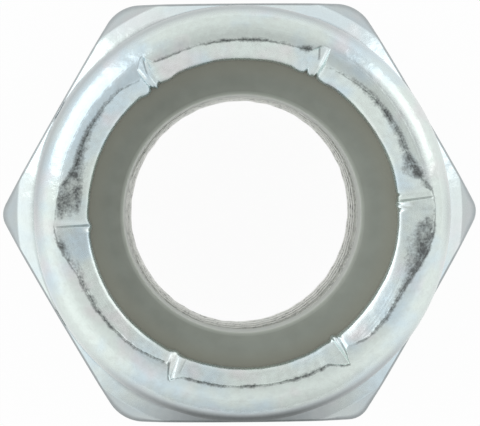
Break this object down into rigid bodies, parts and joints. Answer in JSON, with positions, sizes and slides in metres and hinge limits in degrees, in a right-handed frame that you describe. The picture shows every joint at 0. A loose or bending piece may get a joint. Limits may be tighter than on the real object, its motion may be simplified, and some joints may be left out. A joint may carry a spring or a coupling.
{
  "type": "nylon insert lock nut",
  "caption": "Hexagonal steel lock nut whose round collar is crimped over a nylon ring, which grips the bolt's thread so that the nut doesn't work loose.",
  "frame": {"origin": "centre of the bearing face, the flat underside that meets the joint", "axes": "+Z along the thread's axis from the bearing face to the nylon ring, +X through a corner of the hexagon, +Y square to a wrench flat"},
  "size_m": [0.0162, 0.0142, 0.0115],
  "materials": {
    "zinc_plate": "bright blue-white zinc plate on cold-formed steel",
    "nylon": "moulded grey nylon, satin"
  },
  "bodies": {
    "root": {"nut_body": "zinc_plate", "locking_ring": "nylon"}
  },
  "joints": []
}
